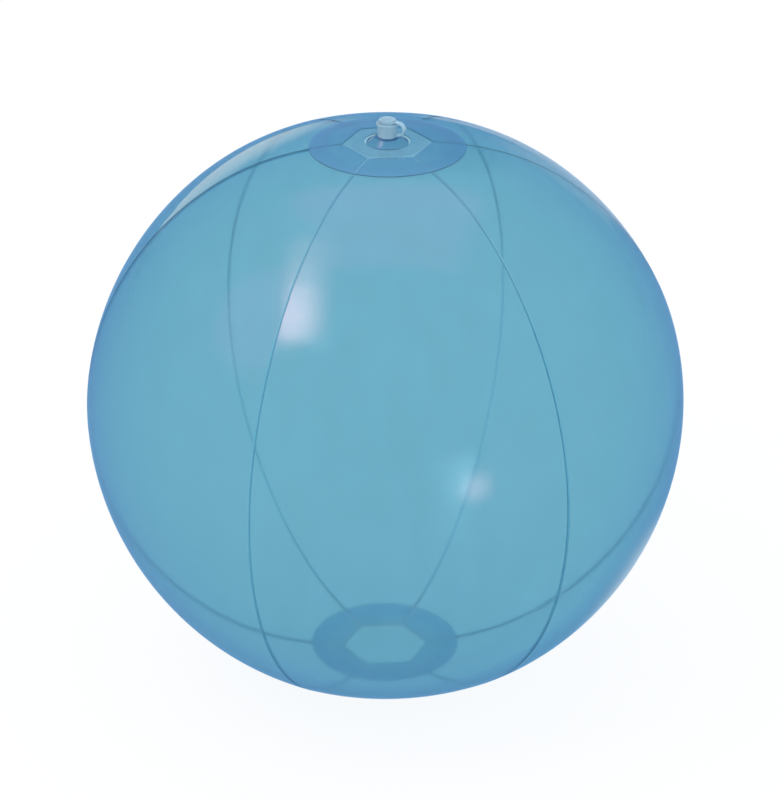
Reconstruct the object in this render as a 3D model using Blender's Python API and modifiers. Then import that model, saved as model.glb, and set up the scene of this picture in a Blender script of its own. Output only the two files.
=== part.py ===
"""Inflatable beach ball of thin film: six welded gores, two end caps and a push-in valve with its plug.

Metres, +Z up. The origin is the middle of the flat patch on which the ball stands.
"""

import math

import bmesh
import bpy
from mathutils import Vector

# Ball
BALL_WIDTH = 0.280  # inflated, across the middles of two opposite gores
BALL_HEIGHT = 0.2700  # cap to cap along the axis, before the foot flattens
CONTACT_DIAMETER = 0.032  # patch that the ball's weight presses flat
FILM = 0.0003  # thickness of the film
CLEARANCE = 0.0003  # air between two pieces that lie against each other

# Gores
GORE_COUNT = 6
FIRST_SEAM_DEG = 5.0  # longitude of the seam to the right of +X
SEAM_FIN_DEPTH = 0.0012  # welded edges turned into the ball
SEAM_RISE = 0.0016  # how far a seam stands out beyond the middle of a gore, at the waist
SEAM_RISE_POWER = 3  # how soon the rise dies away towards the poles
GORE_END_WIDTH = 0.0207  # straight cut end, one side of the opening under a cap

# End caps
CAP_DIAMETER = 0.072

# Valve base: a flange under the top cap and a soft web that rises to the stem
FLANGE_DIAMETER = 0.033
FLANGE_BORE = 0.020
FLANGE_THICKNESS = 0.0005
FLANGE_SHOWING = 0.0005  # ring of flange that the hole in the cap leaves bare
WEB_HEIGHT = 0.0032
WEB_THICKNESS = 0.0004

# Valve stem
STEM_DIAMETER = 0.0092
STEM_BORE = 0.0066
STEM_LENGTH = 0.0068
STEM_SKIRT = 0.0006  # tube below the web
LIP_DIAMETER = 0.0104
LIP_THICKNESS = 0.0010

# Plug and its strap
PLUG_HEAD_DIAMETER = 0.0078
PLUG_HEAD_THICKNESS = 0.0013
PLUG_SHANK_LENGTH = 0.0038
PLUG_TIP_TAPER = 0.0004
STRAP_WIDTH = 0.0026
STRAP_THICKNESS = 0.0007
STRAP_RISE = 0.0012  # from the web to the foot of the strap
STRAP_STANDOFF = 0.0006  # straight run between the stem and the bend
STRAP_LONGITUDE_DEG = -30.0

# Check flap
FLAP_DIAMETER = 0.0088
FLAP_THICKNESS = 0.0005
FLAP_HINGE_SETBACK = 0.0007  # from the flap's round edge to its straight hinge edge

# Rounding and mesh density
EDGE_ROUND = 0.00025
ROUND_STEPS = 2
ROUND_ABOVE_DEG = 50
SHARP_ABOVE_DEG = 40
END_OVERRUN = 0.8  # share of the end distance to which a gore is swept before its end is cut
FLATNESS_POWER = 12  # how closely the flattening keeps to the poles
GORE_ROWS = 22
GORE_COLUMNS = 8
CAP_RINGS = 6
CAP_STEPS = 48
FLANGE_RINGS = 2
VALVE_STEPS = 32
ARC_STEPS = 12
WEB_STEPS = 6
MERGE = 0.00001

# Finishes: linear colour, roughness
BLUE_FILM = (0.153, 0.434, 0.571)
PALE_FILM = (0.55, 0.72, 0.83)
FILM_ROUGHNESS = 0.12
VALVE_ROUGHNESS = 0.25

# Places worked out from the sizes above
HALF_GORE = math.pi / GORE_COUNT
SEAM_SHIFT = CLEARANCE / 2 / math.sin(HALF_GORE)
SKIN_RADIUS = BALL_WIDTH / 2 - SEAM_SHIFT
POLE_HEIGHT = BALL_HEIGHT / 2 - CLEARANCE - FILM
FLATNESS = 1 - POLE_HEIGHT / SKIN_RADIUS
GORE_END_DISTANCE = GORE_END_WIDTH / 2 / math.tan(HALF_GORE)
CAP_LIFT = CLEARANCE + FILM
STEM_BASE = WEB_HEIGHT - STEM_SKIRT
STEM_TOP = STEM_BASE + STEM_LENGTH
HEAD_BASE = STEM_TOP + CLEARANCE
FLAP_TOP = STEM_BASE - CLEARANCE


def skin_point(latitude):
    """Distance from the axis and height over the middle of the ball, on a circle flattened at the poles."""
    sine = math.sin(latitude)
    height = SKIN_RADIUS * sine * (1 - FLATNESS * sine**FLATNESS_POWER)
    return SKIN_RADIUS * math.cos(latitude), height


def skin_height(radius, lift=0.0):
    """Height of the upper half of the skin at a distance from the axis, lifted square to the skin."""
    latitude = math.acos(radius / SKIN_RADIUS)
    sine = math.sin(latitude)
    along = math.cos(latitude) * (1 - (FLATNESS_POWER + 1) * FLATNESS * sine**FLATNESS_POWER)
    return skin_point(latitude)[1] + lift * math.hypot(along, sine) / sine


MIDDLE_HEIGHT = skin_height(CONTACT_DIAMETER / 2, CAP_LIFT)


def steps_between(first, last, count):
    """Evenly spaced values from first to last, both included."""
    return [first + (last - first) * step / count for step in range(count + 1)]


def clear_scene():
    """Leaves no object in the scene."""
    for obj in list(bpy.data.objects):
        bpy.data.objects.remove(obj)


def film_material(name, colour, roughness):
    """A plain glossy film."""
    material = bpy.data.materials.new(name)
    material.use_nodes = True
    shader = material.node_tree.nodes["Principled BSDF"]
    shader.inputs["Base Color"].default_value = (*colour, 1)
    shader.inputs["Roughness"].default_value = roughness
    shader.inputs["Metallic"].default_value = 0.0
    return material


def add_empty(collection, name, height):
    """A point on the ball's axis that carries other pieces."""
    empty = bpy.data.objects.new(name, None)
    empty.location = (0, 0, height)
    collection.objects.link(empty)
    return empty


def add_piece(collection, name, mesh, material, parent):
    """One named piece on its parent."""
    piece = bpy.data.objects.new(name, mesh)
    collection.objects.link(piece)
    piece.parent = parent
    if not mesh.materials:
        mesh.materials.append(material)
    return piece


def add_solidify(piece, thickness):
    """Gives an open surface its thickness, inwards."""
    wall = piece.modifiers.new("wall", "SOLIDIFY")
    wall.thickness = thickness
    wall.offset = -1
    wall.use_even_offset = True


def add_screw(piece, steps):
    """Turns a profile round the Z axis."""
    turn = piece.modifiers.new("turn", "SCREW")
    turn.angle = 2 * math.pi
    turn.steps = steps
    turn.render_steps = steps
    turn.use_merge_vertices = True
    turn.merge_threshold = MERGE
    turn.use_smooth_shade = True


def add_bevel(piece, width):
    """Rounds the sharp edges."""
    rounding = piece.modifiers.new("rounding", "BEVEL")
    rounding.width = width
    rounding.segments = ROUND_STEPS
    rounding.limit_method = "ANGLE"
    rounding.angle_limit = math.radians(ROUND_ABOVE_DEG)


def profile_mesh(name, points, closed):
    """A line of (radius, height) points in the XZ plane."""
    count = len(points)
    edges = [(i, i + 1) for i in range(count - 1)]
    if closed:
        edges.append((count - 1, 0))
    mesh = bpy.data.meshes.new(name)
    mesh.from_pydata([(radius, 0, height) for radius, height in points], edges, [])
    return mesh


def outline_mesh(name, points, thickness):
    """A flat plate of the given outline, in the XY plane and centred on it."""
    curve = bpy.data.curves.new(name, "CURVE")
    curve.dimensions = "2D"
    curve.fill_mode = "BOTH"
    curve.extrude = thickness / 2
    spline = curve.splines.new("POLY")
    spline.points.add(len(points) - 1)
    for point, (x, y) in zip(spline.points, points):
        point.co = (x, y, 0, 1)
    spline.use_cyclic_u = True
    guide = bpy.data.objects.new(name, curve)
    bpy.context.scene.collection.objects.link(guide)
    graph = bpy.context.evaluated_depsgraph_get()
    mesh = bpy.data.meshes.new_from_object(guide.evaluated_get(graph))
    bpy.data.objects.remove(guide)
    form = bmesh.new()
    form.from_mesh(mesh)
    bmesh.ops.remove_doubles(form, verts=form.verts, dist=MERGE)
    form.to_mesh(mesh)
    form.free()
    return mesh


def arc_points(centre, radius, first_deg, last_deg):
    """Points along an arc about a centre."""
    angles = steps_between(math.radians(first_deg), math.radians(last_deg), ARC_STEPS)
    return [(centre[0] + radius * math.cos(a), centre[1] + radius * math.sin(a)) for a in angles]


def gore_mesh():
    """Outer face of one gore about +X, middle of the ball at the origin.

    A meridian is swept from seam to seam, the seams are raised, their edges are turned into the ball as weld
    fins, the gore is moved out to leave the seam's clearance, and both ends are cut off straight.
    """
    form = bmesh.new()
    last_latitude = math.acos(END_OVERRUN * GORE_END_DISTANCE / SKIN_RADIUS)
    meridian = []
    for latitude in steps_between(last_latitude, -last_latitude, GORE_ROWS):
        radius, height = skin_point(latitude)
        place = (radius * math.cos(HALF_GORE), -radius * math.sin(HALF_GORE), height)
        meridian.append(form.verts.new(place))
    lines = [form.edges.new(pair) for pair in zip(meridian, meridian[1:])]
    bmesh.ops.spin(
        form,
        geom=meridian + lines,
        axis=(0, 0, 1),
        cent=(0, 0, 0),
        angle=2 * HALF_GORE,
        steps=GORE_COLUMNS,
    )
    bmesh.ops.recalc_face_normals(form, faces=form.faces)
    form.faces.ensure_lookup_table()
    if form.faces[0].normal.dot(form.faces[0].calc_center_median()) < 0:
        bmesh.ops.reverse_faces(form, faces=form.faces)

    def share(vert):
        return math.atan2(vert.co.y, vert.co.x) / HALF_GORE

    for vert in form.verts:
        waist = math.hypot(vert.co.x, vert.co.y) / SKIN_RADIUS
        vert.co += vert.co.normalized() * SEAM_RISE * waist**SEAM_RISE_POWER * share(vert) ** 2
    seams = [
        edge
        for edge in form.edges
        if edge.is_boundary and all(abs(share(vert)) > 1 - 1 / GORE_COLUMNS for vert in edge.verts)
    ]
    fins = bmesh.ops.extrude_edge_only(form, edges=seams)["geom"]
    for vert in fins:
        if isinstance(vert, bmesh.types.BMVert):
            vert.co -= vert.co.normalized() * SEAM_FIN_DEPTH
    bmesh.ops.translate(form, verts=form.verts, vec=Vector((SEAM_SHIFT, 0, 0)))
    bmesh.ops.bisect_plane(
        form,
        geom=list(form.verts) + list(form.edges) + list(form.faces),
        dist=MERGE,
        plane_co=(GORE_END_DISTANCE, 0, 0),
        plane_no=(-1, 0, 0),
        clear_outer=True,
    )
    mesh = bpy.data.meshes.new("gore")
    form.to_mesh(mesh)
    form.free()
    mesh.shade_smooth()
    mesh.set_sharp_from_angle(angle=math.radians(SHARP_ABOVE_DEG))
    return mesh


def add_gores(collection, middle):
    """The gores, side by side round the axis, from the seam to the right of +X."""
    mesh = gore_mesh()
    material = film_material("gore_film", BLUE_FILM, FILM_ROUGHNESS)
    for number in range(GORE_COUNT):
        gore = add_piece(collection, f"gore_{number + 1}", mesh, material, middle)
        gore.rotation_euler.z = math.radians(FIRST_SEAM_DEG) + HALF_GORE * (2 * number + 1)
        add_solidify(gore, FILM)


def add_top_cap(collection, middle):
    """Disc of film over the upper gore ends, with the valve's hole."""
    hole = FLANGE_BORE / 2 + FLANGE_SHOWING
    radii = steps_between(hole, CAP_DIAMETER / 2, CAP_RINGS)
    points = [(radius, skin_height(radius, CAP_LIFT)) for radius in radii]
    material = film_material("top_cap_film", BLUE_FILM, FILM_ROUGHNESS)
    cap = add_piece(collection, "top_cap", profile_mesh("top_cap", points, False), material, middle)
    add_screw(cap, CAP_STEPS)
    add_solidify(cap, FILM)


def add_bottom_cap(collection, middle):
    """Disc of film over the lower gore ends, pressed flat where the ball stands on it."""
    radii = steps_between(CAP_DIAMETER / 2, CONTACT_DIAMETER / 2, CAP_RINGS)
    points = [(radius, -skin_height(radius, CAP_LIFT)) for radius in radii]
    points.append((0, -MIDDLE_HEIGHT))
    material = film_material("bottom_cap_film", BLUE_FILM, FILM_ROUGHNESS)
    cap = add_piece(collection, "bottom_cap", profile_mesh("bottom_cap", points, False), material, middle)
    add_screw(cap, CAP_STEPS)
    add_solidify(cap, FILM)


def add_valve_flange(collection, middle):
    """Flat ring against the underside of the top cap."""
    radii = steps_between(FLANGE_BORE / 2, FLANGE_DIAMETER / 2, FLANGE_RINGS)
    points = [(radius, skin_height(radius)) for radius in radii]
    material = film_material("flange_film", BLUE_FILM, VALVE_ROUGHNESS)
    flange = add_piece(collection, "valve_flange", profile_mesh("valve_flange", points, False), material, middle)
    add_screw(flange, CAP_STEPS)
    add_solidify(flange, FLANGE_THICKNESS)


def add_valve_web(collection, valve):
    """Soft cone from the flange's bore up to the stem, with an S-shaped slope."""
    inner = STEM_DIAMETER / 2 + CLEARANCE
    outer = FLANGE_BORE / 2 - CLEARANCE
    foot = skin_height(FLANGE_BORE / 2) - POLE_HEIGHT
    points = []
    for share in steps_between(0, 1, WEB_STEPS):
        drop = share * share * (3 - 2 * share)
        points.append((inner + (outer - inner) * share, WEB_HEIGHT + (foot - WEB_HEIGHT) * drop))
    material = film_material("web_film", BLUE_FILM, VALVE_ROUGHNESS)
    web = add_piece(collection, "valve_web", profile_mesh("valve_web", points, False), material, valve)
    add_screw(web, VALVE_STEPS)
    add_solidify(web, WEB_THICKNESS)


def add_valve_stem(collection, valve):
    """Short tube with a lip round its mouth."""
    wall = STEM_DIAMETER / 2
    lip = LIP_DIAMETER / 2
    bore = STEM_BORE / 2
    points = [
        (bore, STEM_TOP),
        (lip, STEM_TOP),
        (lip, STEM_TOP - LIP_THICKNESS),
        (wall, STEM_TOP - LIP_THICKNESS),
        (wall, STEM_BASE),
        (bore, STEM_BASE),
    ]
    material = film_material("stem_pvc", PALE_FILM, VALVE_ROUGHNESS)
    stem = add_piece(collection, "valve_stem", profile_mesh("valve_stem", points, True), material, valve)
    add_screw(stem, VALVE_STEPS)
    add_bevel(stem, EDGE_ROUND)


def add_valve_plug(collection, valve):
    """Stopper: a round head on the lip and a tapered shank in the bore. Its origin is under its head."""
    head = PLUG_HEAD_DIAMETER / 2
    shank = STEM_BORE / 2 - CLEARANCE
    points = [
        (0, PLUG_HEAD_THICKNESS),
        (head, PLUG_HEAD_THICKNESS),
        (head, 0),
        (shank, 0),
        (shank, -PLUG_SHANK_LENGTH / 2),
        (shank - PLUG_TIP_TAPER, -PLUG_SHANK_LENGTH),
        (0, -PLUG_SHANK_LENGTH),
    ]
    material = film_material("plug_pvc", PALE_FILM, VALVE_ROUGHNESS)
    plug = add_piece(collection, "valve_plug", profile_mesh("valve_plug", points, False), material, valve)
    plug.location.z = HEAD_BASE
    add_screw(plug, VALVE_STEPS)
    add_bevel(plug, EDGE_ROUND)


def add_plug_strap(collection, valve):
    """Band bent in a half circle from the side of the stem to the rim of the plug's head."""
    half = STRAP_THICKNESS / 2
    foot = WEB_HEIGHT + STRAP_RISE
    top = HEAD_BASE + PLUG_HEAD_THICKNESS / 2
    stem_end = STEM_DIAMETER / 2 + CLEARANCE
    head_end = PLUG_HEAD_DIAMETER / 2 + CLEARANCE
    bend = max(stem_end, LIP_DIAMETER / 2) + STRAP_STANDOFF
    centre = (bend, (foot + top) / 2)
    radius = (top - foot) / 2
    points = [(stem_end, foot - half)]
    points += arc_points(centre, radius + half, -90, 90)
    points += [(head_end, top + half), (head_end, top - half)]
    points += arc_points(centre, radius - half, 90, -90)
    points += [(stem_end, foot + half)]
    mesh = outline_mesh("plug_strap", points, STRAP_WIDTH)
    material = film_material("strap_pvc", PALE_FILM, VALVE_ROUGHNESS)
    strap = add_piece(collection, "plug_strap", mesh, material, valve)
    strap.rotation_euler = (math.pi / 2, 0, math.radians(STRAP_LONGITUDE_DEG))


def add_check_flap(collection, valve):
    """Round flap under the stem, cut straight on the side where it bends. Its origin is on that edge."""
    radius = FLAP_DIAMETER / 2
    hinge = radius - FLAP_HINGE_SETBACK
    half_cut = math.degrees(math.acos(hinge / radius))
    points = arc_points((hinge, 0), radius, half_cut - 180, 180 - half_cut)
    mesh = outline_mesh("check_flap", points, FLAP_THICKNESS)
    material = film_material("flap_film", PALE_FILM, VALVE_ROUGHNESS)
    flap = add_piece(collection, "check_flap", mesh, material, valve)
    flap.location = (-hinge, 0, FLAP_TOP - FLAP_THICKNESS / 2)


def main():
    clear_scene()
    collection = bpy.data.collections.new("beach_ball")
    bpy.context.scene.collection.children.link(collection)
    middle = add_empty(collection, "ball_middle", MIDDLE_HEIGHT)
    valve = add_empty(collection, "valve_axis", MIDDLE_HEIGHT + POLE_HEIGHT)
    add_gores(collection, middle)
    add_top_cap(collection, middle)
    add_bottom_cap(collection, middle)
    add_valve_flange(collection, middle)
    add_valve_web(collection, valve)
    add_valve_stem(collection, valve)
    add_valve_plug(collection, valve)
    add_plug_strap(collection, valve)
    add_check_flap(collection, valve)


main()
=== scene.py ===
"""Beach ball of clear blue film: the finished surfaces, the stage and the camera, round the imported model."""

import math

import bpy
import numpy as np
from mathutils import Matrix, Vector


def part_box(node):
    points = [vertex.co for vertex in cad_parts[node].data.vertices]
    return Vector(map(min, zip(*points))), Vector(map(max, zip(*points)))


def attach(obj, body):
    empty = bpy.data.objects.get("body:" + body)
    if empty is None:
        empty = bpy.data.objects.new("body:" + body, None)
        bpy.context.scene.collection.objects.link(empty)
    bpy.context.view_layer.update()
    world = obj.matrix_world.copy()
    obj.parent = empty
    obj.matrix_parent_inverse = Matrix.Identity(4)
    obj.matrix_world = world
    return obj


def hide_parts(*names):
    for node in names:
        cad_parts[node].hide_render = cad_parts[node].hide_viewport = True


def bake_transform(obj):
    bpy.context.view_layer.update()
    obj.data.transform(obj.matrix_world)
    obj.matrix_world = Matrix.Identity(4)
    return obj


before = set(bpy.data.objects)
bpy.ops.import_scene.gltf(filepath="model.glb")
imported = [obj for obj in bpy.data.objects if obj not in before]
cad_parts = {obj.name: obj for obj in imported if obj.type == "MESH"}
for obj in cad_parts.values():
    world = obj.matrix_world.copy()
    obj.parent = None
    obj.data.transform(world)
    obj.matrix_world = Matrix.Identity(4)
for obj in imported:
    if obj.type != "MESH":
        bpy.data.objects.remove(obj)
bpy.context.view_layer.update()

bl_info = {
    "name": "Beach Ball",
    "version": (1, 0, 0),
    "blender": (4, 5, 0),
    "location": "3D View > Sidebar > Beach Ball",
    "description": "Welded film gores, end caps and mouth valve of a beach ball, on a light table",
    "category": "Add Mesh",
}

# Mesh density
GORE_ROWS = 200
FIELD_COLUMNS = 49
BEND_COLUMNS = 5
FIN_COLUMNS = 3
CAP_RINGS = 36
CAP_STEPS = 180
FOOT_RINGS = 6
FLANGE_RINGS = 12
VALVE_STEPS = 96
SOFT_ROWS = 40
CORNER_STEPS = 6
FLOOR_RINGS = 40
FLOOR_STEPS = 64
SHARP_DEG = 40
ON_AXIS = 1e-9

# How far film was melted: a seam's bend, its fin, the bare middle of the upper cap, the lighter value that
# some seams fade to near the upper cap, a cap lying loose on the gores, and a full weld
BEND = 0.1
FIN = 0.2
BARE = 0.25
FAINT = 0.48
LOOSE = 0.5
FULL = 1.0

# Seams that fade to a lighter tint near the upper cap: how faint each gets, and between which shares of the
# way from the waist to the upper end
FAINT_SEAMS = {1: 1.0, 5: 0.2, 6: 0.4}
FAINT_START = 0.4
FAINT_END = 0.6

# Powers of the film's form
FLATNESS_POWER = 12
SEAM_RISE_POWER = 3

# Puckers beside a weld: drift of their pitch and swell of their height, each with how much, how fast along
# the weld and its step from seam to seam, and the step of the waves themselves
PUCKER_DRIFT = (1.7, 1.3, 2.1)
PUCKER_SWELL = (0.4, 0.7, 1.9)
PUCKER_STEP = 2.4

# Roundings: the largest share of an edge that one may take; then in parts of the flange's wall, of the
# moulded edge and of half the strap's thickness
CORNER_SHARE = 0.45
FLANGE_ROUNDING = 0.4
PLUG_ROUNDING = 1.4
STRAP_ROUNDING = 0.6

# Rings of the check flap, from face over rim to underside: shares of its outline and of its thickness
FLAP_RINGS = (
    (0.25, 0.0), (0.5, 0.0), (0.75, 0.0), (0.96, 0.0), (1.0, 0.15),
    (1.0, 0.85), (0.96, 1.0), (0.75, 1.0), (0.5, 1.0), (0.25, 1.0),
)

# Sizes of the patterns in the materials, metres
PEEL = 0.004
PEEL_HEIGHT = 0.0002
STREAK_WIDTH = 0.012
STREAK_LENGTH = 0.11
SHEEN_PATCH = 0.03
WET_PATCH = 0.006
WELD_GRAIN = 0.0012
CLOUD = 0.003
GRAIN = 0.0004
GRAIN_HEIGHT = 0.00005

# Film: spread of its thickness, roughness of its faces and what a full weld adds to it; then where in the
# noise a loose cap clings to the gores, how near to loose it has to be, and how far that shifts it to a weld
THICKNESS = (0.965, 1.035)
FILM_ROUGHNESS = (0.042, 0.058)
WELD_ROUGHNESS = 0.1
CLING_NOISE = (0.52, 0.6)
CLING_RANGE = 0.1
CLING_SHIFT = 0.12

# Soft PVC: spread of its tint and of its roughness from cloud to cloud
CLOUD_TINT = (0.9, 1.06)
CLOUD_ROUGHNESS = (0.8, 1.2)

# Lower and upper end of the softbox, metres from the middle of the ball, and its brightness along and across
SOFTBOX_ENDS = ((-0.639, -0.840, 0.848), (-0.496, 0.288, 1.232))
SOFTBOX_ALONG = (
    (0.06, 0.06), (0.13, 0.46), (0.2, 0.82), (0.3, 1.0),
    (0.45, 0.8), (0.57, 0.4), (0.75, 0.22), (0.91, 0.07),
)
SOFTBOX_ACROSS = (
    (0.16, 0.06), (0.25, 0.35), (0.37, 0.9), (0.48, 1.0),
    (0.62, 0.85), (0.73, 0.53), (0.83, 0.24), (0.92, 0.06),
)

# Lower and upper end of the small lamp in front of the ball, and its brightness in both directions
LAMP_ENDS = ((0.243, -0.470, -0.0915), (0.243, -0.470, 0.0485))
LAMP_FADE = (
    (0.1, 0.1), (0.2, 0.35), (0.3, 0.65), (0.4, 0.9), (0.5, 1.0),
    (0.6, 0.9), (0.7, 0.65), (0.8, 0.35), (0.9, 0.1),
)

# Painted reflections: what the world shows only past this depth of reflection, a blue room that the film seems
# to mirror; seen straight the world is plain white. Overhead panel: where its edges fade in, in parts of a
# direction.
# Walls and the dark gap: aim, angles from it at which they are full and gone, strength
MIRRORED_DEPTH = 0.5
PAINTED_PANEL_SIDES = (0.48, 0.28)
PAINTED_PANEL_FRONT = (-0.19, -0.06)
PAINTED_PANEL_LOW = (0.65, 0.8)
PAINTED_BACK_WALL = ((-0.30, 0.953, -0.02), 5, 17, 1.0)
PAINTED_RIGHT_WALL = ((0.33, 0.943, 0.03), 3, 12, 0.3)
PAINTED_SIDE_WALL = ((-0.73, -0.2, 0.654), 12, 22, 1.0)
PAINTED_DARK_GAP = ((0.08, 0.887, 0.455), 6, 17, 0.85)

# Painted reflections on the floor, seen only in reflections. Wedge behind the ball's right side: where it
# fades in along X, and along Y less twice X, metres, and strength. Spot: centre, distances at which it is full
# and gone, and strength
PAINTED_WEDGE_NEAR = (0.05, 0.15)
PAINTED_WEDGE_FAR = (-0.05, 0.25)
PAINTED_WEDGE_SLANT = -2.0
PAINTED_WEDGE_STRENGTH = 0.45
PAINTED_FLOOR_SPOT = ((0.13, 0.06, 0.0), 0.02, 0.09, 0.5)

# Light table: inner and outer radius and how far it lies below the foot, metres; how it takes and gives light
FLOOR_INNER = 0.02
FLOOR_OUTER = 4.0
FLOOR_DROP = 0.0003
FLOOR_GREY = 0.09
FLOOR_ROUGHNESS = 0.6
FLOOR_GLOW = 0.94

# How often light may go through or be mirrored, enough for every layer of film, and the camera's sensor
BOUNCES = 32
GLOSSY_BOUNCES = 12
SENSOR_WIDTH_MM = 36


def half_width(node):
    """Half of a round node's width."""
    low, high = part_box(node)
    return (high.x - low.x) / 2


def low_end(node):
    """Height of a node's lowest point."""
    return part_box(node)[0].z


def high_end(node):
    """Height of a node's highest point."""
    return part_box(node)[1].z


def linear(code):
    """Linear red, green and blue of an sRGB hex code, by the sRGB curve."""
    parts = np.array([int(code[i : i + 2], 16) for i in (1, 3, 5)]) / 255
    curve = np.where(parts <= 0.04045, parts / 12.92, ((parts + 0.055) / 1.055) ** 2.4)
    return tuple(float(part) for part in curve)


def setting(name, description, default, **limits):
    """A number that a user may change."""
    return bpy.props.FloatProperty(name=name, description=description, default=default, **limits)


def length(name, description, default):
    """A length in metres that a user may change."""
    return setting(name, description, default, min=0.0, precision=5, unit="LENGTH")


def degrees(name, description, default):
    """An angle that a user may change, given in degrees."""
    return setting(name, description, math.radians(default), subtype="ANGLE")


def colour(name, description, code):
    """A colour that a user may change, given as an sRGB hex code."""
    return bpy.props.FloatVectorProperty(
        name=name, description=description, default=linear(code), min=0.0, max=1.0, subtype="COLOR"
    )


class BallSizes(bpy.types.PropertyGroup):
    """Sizes of the film body."""

    width: length("Width", "Across the middles of two opposite gores", 0.280)
    height: length("Height", "Cap to cap along the axis, before the foot flattens", 0.2700)
    contact: length("Contact", "Diameter of the patch that the ball's weight presses flat", 0.032)
    film: length("Film", "Thickness of the film", 0.0003)
    clearance: length("Clearance", "Air between two films that lie against each other", 0.0003)
    seam_gap: length("Seam gap", "Air left between the two films of a weld", 0.00004)
    fin_depth: length("Fin depth", "Welded edges turned into the ball", 0.0012)
    fin_bend: length("Fin bend", "Radius at which a gore turns into its fin", 0.0004)
    seam_rise: length("Seam rise", "How far a seam stands out beyond a gore's middle, at the waist", 0.0016)
    gore_end: length("Gore end", "Width of a gore's straight cut end", 0.0207)
    pucker: length("Pucker", "Height of the small waves that a weld draws into the film", 0.00005)
    pucker_pitch: length("Pucker pitch", "Length of one wave along a weld", 0.0095)
    pucker_reach: length("Pucker reach", "How far from the weld the waves are strongest", 0.004)
    cap_radius: length("Cap radius", "Radius of the end caps", half_width("top_cap"))
    cap_weld: length("Cap weld", "Width of the weld at a cap's rim", 0.0085)
    gores: bpy.props.IntProperty(name="Gores", description="Panels round the ball", default=6, min=3)
    first_seam: degrees("First seam", "Longitude of the first seam, counted from +X", 5)


class ValveSizes(bpy.types.PropertyGroup):
    """Sizes of the mouth valve."""

    flange_radius: length("Flange radius", "Round base under the top cap", half_width("valve_flange"))
    flange_bore: length("Flange bore", "Radius of the hole in the flange", 0.010)
    flange_wall: length("Flange wall", "Thickness of the flange", 0.0005)
    flange_showing: length("Flange showing", "Ring of flange inside the cap's hole", 0.0005)
    web_wall: length("Web wall", "Thickness of the soft web", 0.0004)
    web_foot: length("Web foot", "Height of the web's outer edge", low_end("valve_web"))
    web_top: length("Web top", "Height of the web's inner edge", high_end("valve_web"))
    stem_radius: length("Stem radius", "Outside of the tube", 0.0046)
    stem_bore: length("Stem bore", "Radius of the tube's bore", 0.0033)
    stem_low: length("Stem low end", "Height of the tube's lower end", low_end("valve_stem"))
    stem_high: length("Stem mouth", "Height of the tube's mouth", high_end("valve_stem"))
    lip_radius: length("Lip radius", "Rim round the mouth", half_width("valve_stem"))
    lip_thickness: length("Lip thickness", "Height of the rim", 0.0010)
    head_radius: length("Head radius", "Head of the plug", half_width("valve_plug"))
    head_thickness: length("Head thickness", "Height of the plug's head", 0.0013)
    plug_low: length("Plug tip", "Height of the plug's tip", low_end("valve_plug"))
    plug_high: length("Plug top", "Height of the plug's top", high_end("valve_plug"))
    tip_taper: length("Tip taper", "How much the plug narrows at its tip", 0.0004)
    strap_width: length("Strap width", "Width of the plug's strap", 0.0026)
    strap_thickness: length("Strap thickness", "Thickness of the plug's strap", 0.0007)
    strap_standoff: length("Strap standoff", "Straight run beside the lip before the strap bends", 0.0006)
    strap_low: length("Strap foot", "Height of the strap's underside", low_end("plug_strap"))
    strap_high: length("Strap top", "Height of the strap's upper side", high_end("plug_strap"))
    flap_radius: length("Flap radius", "Radius of the check flap", 0.0044)
    flap_low: length("Flap underside", "Height of the flap's underside", low_end("check_flap"))
    flap_high: length("Flap face", "Height of the flap's upper face", high_end("check_flap"))
    flap_hinge: length("Flap hinge", "From the axis to the flap's straight edge", -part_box("check_flap")[0].x)
    edge: length("Edge", "Rounding of the moulded edges", 0.00025)
    strap_longitude: degrees("Strap longitude", "Side of the stem on which the strap bends", -30)


class BallFinish(bpy.types.PropertyGroup):
    """Colours of the film and of the valve's moulding."""

    film: colour("Film", "Colour that one layer of film passes", "#ACD8E3")
    bend: colour("Bend", "Colour that film passes where it bends into a seam", "#9BD6E8")
    fin: colour("Fin", "Colour that one layer of a seam's fin passes", "#BBDAE6")
    overlap: colour("Overlap", "Colour that a cap passes where it lies loose on the gores", "#E1F3FF")
    weld: colour("Weld", "Colour that film passes where it was melted and squeezed", "#D7EDFF")
    base: colour("Valve base", "Colour that the valve's pressed base passes", "#FAFEFF")
    web: colour("Valve web", "Colour that the valve's soft web passes", "#8ABAD4")
    moulding: colour("Moulding", "Cloudy plastic of the stem, plug, strap and flap", "#D2F4FF")


class StageSettings(bpy.types.PropertyGroup):
    """Camera and lights."""

    floor: colour("Floor", "Surface of the light table", "#FBFDFF")
    # Room, panel, gap and backdrop are painted reflections: the world and the floor show them only in
    # reflections
    room: colour("Room", "What the film mirrors of the room", "#72AAD7")
    panel: colour("Panel", "What the film mirrors of the overhead panel and the side wall", "#D8B5FF")
    gap: colour("Gap", "What the film mirrors between the back wall and the panel", "#3C86B8")
    backdrop: colour("Backdrop", "What the film mirrors of the back walls and the bright floor", "#EEF8FF")
    cloth: colour("Softbox cloth", "Colour of the softbox", "#FFC1C4")
    softbox: setting("Softbox", "Brightness of the softbox beside a white page", 7.2, min=0.0)
    softbox_width: length("Softbox width", "Across the softbox", 0.6)
    lamp: setting("Lamp", "Brightness of the small lamp beside a white page", 3.0, min=0.0)
    lamp_width: length("Lamp width", "Across the small lamp", 0.14)
    distance: length("Distance", "From the camera to the middle of the ball", 1.4577)
    elevation: degrees("Elevation", "Camera above the horizon", 27.06)
    roll: degrees("Roll", "Turn of the camera about its axis", 0.32)
    lens: setting("Lens", "Focal length on a 36 mm sensor", 137.97, min=1.0, subtype="DISTANCE_CAMERA")
    aim_right: setting("Aim right", "Camera's aim beside the middle of the ball", 0.0023, unit="LENGTH")
    aim_up: setting("Aim up", "Camera's aim over the middle of the ball", 0.0020, unit="LENGTH")


# Shapes


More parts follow.
